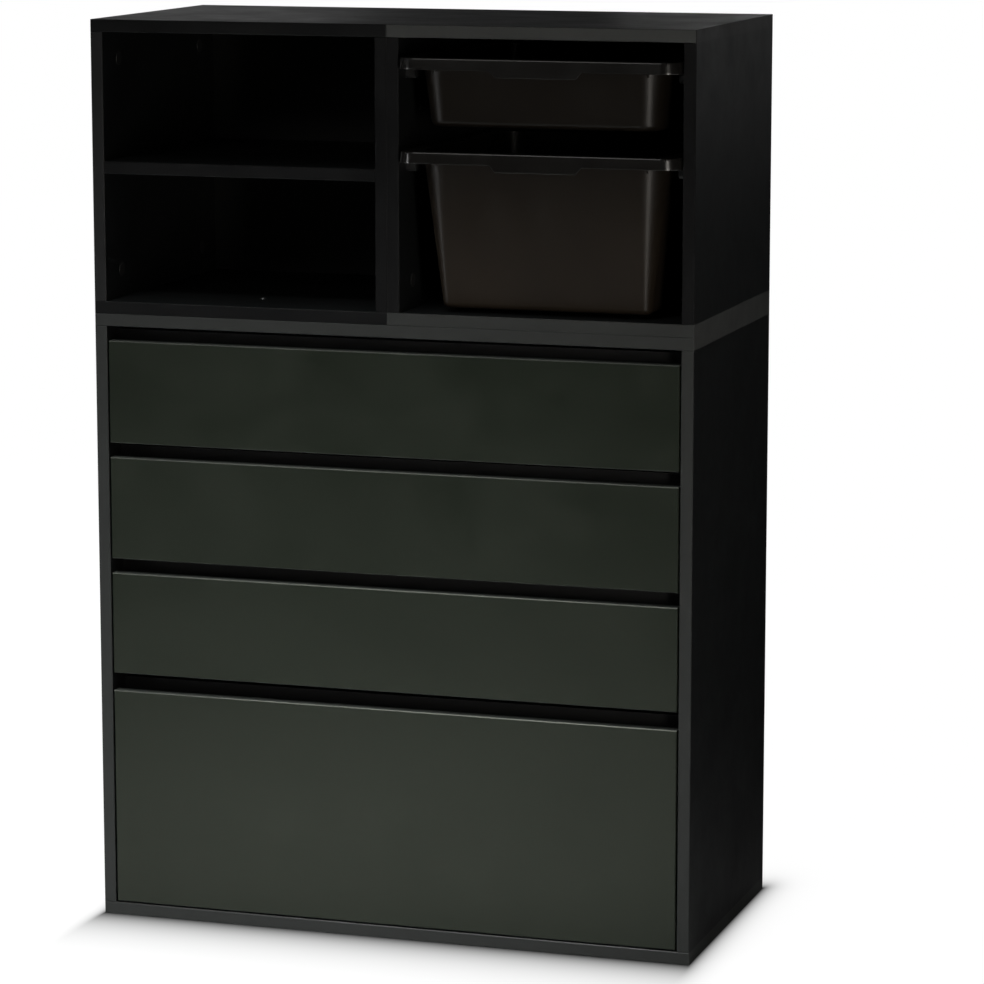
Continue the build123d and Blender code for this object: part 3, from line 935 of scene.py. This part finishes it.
# ================================================================ bins
@dataclass
class MouldedBin:
    """One bin: drafted walls, a flange with a flared skirt and a finger lip, and small ribs."""

    node: str
    body_finish: bpy.types.Material
    rim_finish: bpy.types.Material
    wall: float = 2.0 * MM
    skirt: float = 14.0 * MM
    flare: float = 1.4 * MM
    front_reach: float = 16.0 * MM
    side_reach: float = 19.0 * MM
    back_reach: float = 12.0 * MM
    rim_radius: float = 22.0 * MM
    wall_radius: float = 34.0 * MM
    draft: float = math.radians(7.4)
    lip_width: float = 112.0 * MM
    lip_drop: float = 8.0 * MM
    lip_slope: float = 7.0 * MM
    roll: float = 1.6 * MM
    floor_roll: float = 6.0 * MM
    roll_steps: int = 4
    corner_steps: int = 14
    hold: float = 0.8 * MM
    rib: float = 2.0 * MM
    front_rib: float = 17.0 * MM
    side_rib: float = 11.0 * MM
    rib_inset: float = 21.75 * MM
    side_rib_inset: float = 35.5 * MM
    least_radius: float = 0.4 * MM
    sharp_from: float = math.radians(38.0)

    def __post_init__(self) -> None:
        """Reads the bin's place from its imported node."""
        low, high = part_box(self.node)
        self.top, self.bottom = high.z, low.z
        self.middle_x = (low.x + high.x) / 2
        self.rim = (low.x + self.flare, high.x - self.flare, low.y + self.flare, high.y - self.flare)
        left, right, front, back = self.rim
        self.walls = (left + self.side_reach, right - self.side_reach,
                      front + self.front_reach, back - self.back_reach)
        self.turns = [math.radians(90.0 * n / self.roll_steps) for n in range(self.roll_steps + 1)]

    def _outline(self, box: tuple[float, float, float, float], inset: float, radius: float,
                 z: float, lip: float = 0.0) -> list[Point]:
        """One ring of points round a rectangle with rounded corners.

        Args:
            box: The rectangle's left, right, front and back.
            inset: How far inside it the ring lies.
            radius: The corners' radius, before the inset.
            z: The ring's height.
            lip: How much of the finger lip's drop the front of the ring takes, 0 to 1.

        Returns:
            The ring's points, the same number in the same order for every ring.
        """
        left, right, front, back = (box[0] + inset, box[1] - inset, box[2] + inset, box[3] - inset)
        r = max(radius - inset, self.least_radius)
        points: list[Point] = []
        corners = ((right - r, front + r, -90.0), (right - r, back - r, 0.0),
                   (left + r, back - r, 90.0), (left + r, front + r, 180.0))
        for x, y, start in corners:
            first, last = math.radians(start), math.radians(start + 90.0)
            points.append((x + r * math.cos(first) + self.hold * math.sin(first),
                           y + r * math.sin(first) - self.hold * math.cos(first), z))
            for step in range(self.corner_steps + 1):
                angle = first + (last - first) * step / self.corner_steps
                points.append((x + r * math.cos(angle), y + r * math.sin(angle), z))
            points.append((x + r * math.cos(last) - self.hold * math.sin(last),
                           y + r * math.sin(last) + self.hold * math.cos(last), z))
        half = self.lip_width / 2
        drop = lip * self.lip_drop
        stations = ((-half, 0.0), (-half + self.lip_slope, drop), (half - self.lip_slope, drop),
                    (half, 0.0))
        points += [(self.middle_x + x, front, z - down) for x, down in stations]
        return points

    def _wall_ring(self, z: float, inset: float) -> list[Point]:
        """A ring on the walls at a height, inset from their outside."""
        lean = (self.top - z) * math.tan(self.draft)
        return self._outline(self.walls, inset + lean, self.wall_radius, z)

    def _rim_ring(self, z: float, inset: float, lip: float = 0.0) -> list[Point]:
        """A ring on the skirt at a height, inset from its outside."""
        spread = self.flare * (self.top - z) / self.skirt
        return self._outline(self.rim, inset - spread, self.rim_radius, z, lip)

    def _inside(self) -> list[list[Point]]:
        """Makes the rings from the inner floor up the walls to the rolled edge of the mouth.

        Returns:
            The rings, from the middle of the floor outwards.
        """
        inner_roll, floor = self.floor_roll - self.wall, self.bottom + self.wall
        rings = [self._wall_ring(floor + inner_roll * (1 - math.cos(a)),
                                 self.wall + inner_roll * (1 - math.sin(a))) for a in self.turns]
        rings.append(self._wall_ring(floor + inner_roll + self.hold, self.wall))
        rings.append(self._wall_ring(self.top - self.roll - self.hold, self.wall))
        return rings

    def _rim(self) -> list[list[Point]]:
        """Makes the rings over the flange, down the skirt, round its edge and back under the flange.

        Returns:
            The rings, in that order.
        """
        rings = [self._wall_ring(self.top - self.roll * (1 - math.sin(a)),
                                 self.wall - self.roll * (1 - math.cos(a))) for a in self.turns]
        rings.append(self._wall_ring(self.top, self.wall - self.roll - self.hold))
        rings.append(self._rim_ring(self.top, self.roll + self.hold))
        rings += [self._rim_ring(self.top - self.roll * (1 - math.cos(a)),
                                 self.roll * (1 - math.sin(a))) for a in self.turns]
        rings.append(self._rim_ring(self.top - self.roll - self.hold, 0.0))
        low, edge = self.top - self.skirt, self.wall / 2
        rings.append(self._rim_ring(low + edge + self.hold, 0.0, 1.0))
        for a in (0.0, 45.0, 90.0, 135.0, 180.0):
            turn = math.radians(a)
            rings.append(self._rim_ring(low + edge * (1 - math.sin(turn)),
                                        edge * (1 - math.cos(turn)), 1.0))
        rings.append(self._rim_ring(self.top - self.wall, self.wall))
        return rings

    def _outside(self) -> list[list[Point]]:
        """Makes the rings from under the flange down the walls to the outer floor.

        Returns:
            The rings, from the top down.
        """
        rings = [self._wall_ring(self.top - self.wall, 0.0),
                 self._wall_ring(self.top - self.wall - self.hold, 0.0),
                 self._wall_ring(self.bottom + self.floor_roll + self.hold, 0.0)]
        rings += [self._wall_ring(self.bottom + self.floor_roll * (1 - math.cos(a)),
                                  self.floor_roll * (1 - math.sin(a))) for a in reversed(self.turns)]
        return rings

    def _add_rib(self, body: bmesh.types.BMesh, foot: Vector, out: Vector, reach: float,
                 drop: float) -> None:
        """Adds one triangular rib that hangs under the flange, against the wall.

        Args:
            body: The bin's mesh.
            foot: The rib's inner upper corner, inside the wall.
            out: The way from the wall to the skirt.
            reach: How far it reaches along the flange.
            drop: How far it reaches down the wall.
        """
        along = Vector((-out.y, out.x, 0.0)) * (self.rib / 2)
        corners = (foot, foot + out * reach, foot - Vector((0, 0, drop)))
        sides = [[body.verts.new(c + s * along) for c in corners] for s in (-1, 1)]
        near, far = sides
        faces = [near[::-1], far]
        for n in range(3):
            m = (n + 1) % 3
            faces.append([near[n], near[m], far[m], far[n]])
        made = [body.faces.new(f) for f in faces]
        bmesh.ops.recalc_face_normals(body, faces=made)

    def build(self) -> bpy.types.Object:
        """Makes the bin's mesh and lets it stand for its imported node.

        Returns:
            The finished piece.
        """
        body = bmesh.new()
        zones = (self._inside(), self._rim(), self._outside())
        rings = [[body.verts.new(p) for p in ring] for zone in zones for ring in zone]
        glossy = range(len(zones[0]), len(zones[0]) + len(zones[1]))
        count = len(rings[0])
        made = []
        for number, (inner, outer) in enumerate(zip(rings, rings[1:]), start=1):
            for n in range(count):
                m = (n + 1) % count
                face = body.faces.new((inner[n], inner[m], outer[m], outer[n]))
                face.material_index = int(number in glossy)
                made.append(face)
        made.append(body.faces.new(rings[0]))
        made.append(body.faces.new(rings[-1][::-1]))
        bmesh.ops.recalc_face_normals(body, faces=made)
        left, right, front, back = self.walls
        under = self.top - self.wall
        for way, wall_x in ((-1, left), (1, right)):
            x = wall_x - way * self.rib_inset
            self._add_rib(body, Vector((x, front + self.wall, under)), Vector((0, -1, 0)),
                          self.front_reach, self.front_rib)
            for y in (front + self.side_rib_inset, back - self.side_rib_inset):
                self._add_rib(body, Vector((wall_x - way * self.wall, y, under)), Vector((way, 0, 0)),
                              self.side_reach, self.side_rib)
        mesh = bpy.data.meshes.new(f"{self.node}_moulding")
        body.to_mesh(mesh)
        body.free()
        mesh.materials.append(self.body_finish)
        mesh.materials.append(self.rim_finish)
        mesh.shade_smooth()
        mesh.set_sharp_from_angle(angle=self.sharp_from)
        piece = bpy.data.objects.new(f"{self.node}_moulding", mesh)
        bpy.context.scene.collection.objects.link(piece)
        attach(piece, self.node)
        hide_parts(self.node)
        log.info("%s: %d faces", piece.name, len(mesh.polygons))
        return piece


# ================================================================ studio
@dataclass(frozen=True)
class CameraStand:
    """Where the camera stands, how it is turned and its lens."""

    place: Point = (1.5557, -4.6064, 1.3590)
    turn: float = math.radians(17.853)
    tilt: float = math.radians(9.786)
    focal_pixels: float = 3996.7
    picture_pixels: float = 984.0
    sensor: float = 36.0

    def build(self) -> bpy.types.Object:
        """Makes the scene's camera.

        Returns:
            The camera.
        """
        data = bpy.data.cameras.new("camera")
        data.sensor_width = self.sensor
        data.lens = self.sensor * self.focal_pixels / self.picture_pixels
        data.clip_start, data.clip_end = 0.1, 100.0
        camera = bpy.data.objects.new("camera", data)
        camera.location = self.place
        camera.rotation_euler = (math.pi / 2 - self.tilt, 0.0, self.turn)
        bpy.context.scene.collection.objects.link(camera)
        bpy.context.scene.camera = camera
        return camera


@dataclass(frozen=True)
class Softbox:
    """One rectangular studio lamp, aimed at a point."""

    name: str
    place: Point
    aim: Point
    size: tuple[float, float]
    power: float
    colour: Colour = (1.0, 1.0, 1.0)
    spread: float = 180.0

    def build(self) -> None:
        """Makes the lamp."""
        data = bpy.data.lights.new(self.name, "AREA")
        data.shape = "RECTANGLE"
        data.size, data.size_y = self.size
        data.energy = self.power
        data.color = self.colour
        data.spread = math.radians(self.spread)
        lamp = bpy.data.objects.new(self.name, data)
        lamp.location = self.place
        direction = Vector(self.aim) - Vector(self.place)
        lamp.rotation_euler = direction.to_track_quat("-Z", "Y").to_euler()
        lamp.visible_camera = False
        bpy.context.scene.collection.objects.link(lamp)


@dataclass(frozen=True)
class Studio:
    """The white floor, the surroundings and the lamps."""

    floor_size: float = 16.0
    floor_tone: float = 0.60
    # The floor's tone for the camera is dark so that the painted contact shadow shows; the four lengths
    # below set how far that shadow reaches on each side.
    seen_tone: float = 0.04
    shadow_left: float = 7.0 * MM
    shadow_right: float = 13.0 * MM
    shadow_front: float = 55.0 * MM
    shadow_back: float = 25.0 * MM
    sky: Colour = (0.008, 0.0085, 0.009)
    horizon: Colour = (0.070, 0.070, 0.070)
    horizon_way: Point = (-0.86, 0.50, 0.10)
    horizon_from: float = 0.35
    boxes: tuple[Softbox, ...] = (
        Softbox("floor_pool", (-0.20, -0.80, 1.50), (-0.20, -0.76, 0.0), (0.9, 0.5), 13.0,
                (0.97, 1.0, 0.99), 82.0),
        Softbox("front_fill", (-0.9, -3.2, 2.6), (0.0, 0.0, 0.6), (1.4, 1.0), 13.0,
                (1.0, 0.99, 0.95)),
        Softbox("right_box", (1.30, -1.55, 0.62), (0.25, -0.17, 0.80), (0.26, 0.94), 1.5,
                (1.0, 0.95, 0.88), 56.0),
        Softbox("left_box", (-1.25, -1.05, 0.62), (0.20, -0.17, 0.80), (0.16, 0.94), 0.30,
                spread=40.0),
        Softbox("right_rear", (1.15, 1.60, 1.18), (0.375, 0.0, 0.94), (0.6, 0.6), 0.11,
                spread=90.0),
        Softbox("top_rear", (-1.70, 2.70, 1.60), (0.0, 0.0, 1.10), (1.2, 0.6), 1.0),
        Softbox("right_pool", (2.10, -0.20, 1.40), (2.10, -0.20, 0.0), (0.9, 0.9), 12.0,
                spread=80.0),
        Softbox("left_pool", (-1.90, -0.40, 1.40), (-1.90, -0.40, 0.0), (0.9, 0.9), 8.0,
                spread=80.0),
        Softbox("back_pool", (-1.45, 1.70, 1.40), (-1.45, 1.70, 0.0), (0.9, 0.9), 8.0,
                spread=76.0),
        Softbox("back_face", (-0.10, 2.40, 0.62), (-0.02, 0.18, 0.58), (0.7, 1.1), 3.5,
                spread=34.0),
        Softbox("top_face", (0.0, 1.20, 3.20), (0.0, 0.0, 1.10), (1.6, 1.6), 0.6,
                spread=40.0),
    )

    def build(self) -> None:
        """Makes the floor, the world and the lamps."""
        self._floor()
        self._world()
        for box in self.boxes:
            box.build()
        bpy.context.scene.view_settings.view_transform = "Standard"

    def _floor(self) -> None:
        """A pale floor that shows white to the camera away from the object, with a painted contact
        shadow round it that is dark near the object and fades with distance; the real shadow shows only
        faintly in it.
        """
        half = self.floor_size / 2
        mesh = bpy.data.meshes.new("floor")
        mesh.from_pydata([(-half, -half, 0), (half, -half, 0), (half, half, 0), (-half, half, 0)],
                         [], [(0, 1, 2, 3)])
        floor = bpy.data.objects.new("floor", mesh)
        bpy.context.scene.collection.objects.link(floor)
        material = bpy.data.materials.new("floor_white")
        material.use_nodes = True
        sheet = Sheet(material.node_tree)
        matt = sheet.add("ShaderNodeBsdfDiffuse")
        sheet.feed(matt.inputs["Color"], sheet.mix(
            self._seen(sheet), (self.floor_tone,) * 3, (self.seen_tone,) * 3))
        # The glow whitens the floor for the camera, held back near the object to paint its contact
        # shadow.
        glow = sheet.add("ShaderNodeEmission")
        sheet.feed(glow.inputs["Strength"],
                   sheet.math("MULTIPLY", self._seen(sheet), self._painted_shadow_whiteness(sheet)))
        both = sheet.add("ShaderNodeAddShader")
        sheet.feed(both.inputs[0], matt.outputs[0])
        sheet.feed(both.inputs[1], glow.outputs[0])
        sheet.feed(sheet.add("ShaderNodeOutputMaterial").inputs["Surface"], both.outputs[0])
        mesh.materials.append(material)

    def _painted_shadow_whiteness(self, sheet: Sheet) -> bpy.types.NodeSocket:
        """How much the floor is whitened for the camera.

        It is nothing where the object stands and grows with the distance from it, which paints a contact
        shadow of its own length on each side.

        Args:
            sheet: The floor's node tree.

        Returns:
            The socket of a value from 0 to 1.
        """
        place = sheet.add("ShaderNodeSeparateXYZ")
        sheet.feed(place.inputs[0], sheet.add("ShaderNodeTexCoord").outputs["Object"])
        low, high = cad_box
        away = sheet.add("ShaderNodeCombineXYZ")
        for axis, end, start, near, far in (
                ("X", high.x, low.x, self.shadow_right, self.shadow_left),
                ("Y", high.y, -high.y, self.shadow_back, self.shadow_front)):
            here = place.outputs[axis]
            past = sheet.math("DIVIDE", sheet.math("SUBTRACT", here, end), near)
            before = sheet.math("DIVIDE", sheet.math("SUBTRACT", start, here), far)
            out = sheet.math("MAXIMUM", sheet.math("MAXIMUM", past, before), 0.0)
            sheet.feed(away.inputs[axis], out)
        length = sheet.add("ShaderNodeVectorMath", operation="LENGTH")
        sheet.feed(length.inputs[0], away.outputs[0])
        left = sheet.math("EXPONENT", sheet.math("MULTIPLY", length.outputs["Value"], -1.0))
        return sheet.math("SUBTRACT", 1.0, left)

    def _world(self) -> None:
        """White surroundings for the camera, and dim ones for the object with a paler horizon."""
        world = bpy.data.worlds.new("surroundings")
        bpy.context.scene.world = world
        world.use_nodes = True
        sheet = Sheet(world.node_tree)
        towards = sheet.add("ShaderNodeVectorMath", operation="DOT_PRODUCT")
        sheet.feed(towards.inputs[0], sheet.add("ShaderNodeTexCoord").outputs["Generated"])
        towards.inputs[1].default_value = self.horizon_way
        pale = sheet.spread(towards.outputs["Value"], 0.0, 1.0, self.horizon_from, 1.0)
        dim = sheet.mix(pale, self.sky, self.horizon)
        ground = sheet.add("ShaderNodeBackground")
        sheet.feed(ground.inputs["Color"], sheet.mix(self._seen(sheet), dim, (1.0, 1.0, 1.0)))
        sheet.feed(sheet.add("ShaderNodeOutputWorld").inputs["Surface"], ground.outputs[0])

    @staticmethod
    def _seen(sheet: Sheet) -> bpy.types.NodeSocket:
        """1 for what the camera sees and 0 for light that falls on the object."""
        return sheet.add("ShaderNodeLightPath").outputs["Is Camera Ray"]


def main() -> None:
    """Builds and dresses every part of the tower, then the studio."""
    finishes = Finishes.make()
    cases = Cases(finishes)
    cases.dress()
    cases.build()
    drawers = Drawers(finishes)
    drawers.dress()
    drawers.build()
    for node in ("small_bin", "large_bin"):
        MouldedBin(node, finishes.bin_body, finishes.bin_rim).build()
    CameraStand().build()
    Studio().build()


if __name__ == "__main__":
    main()
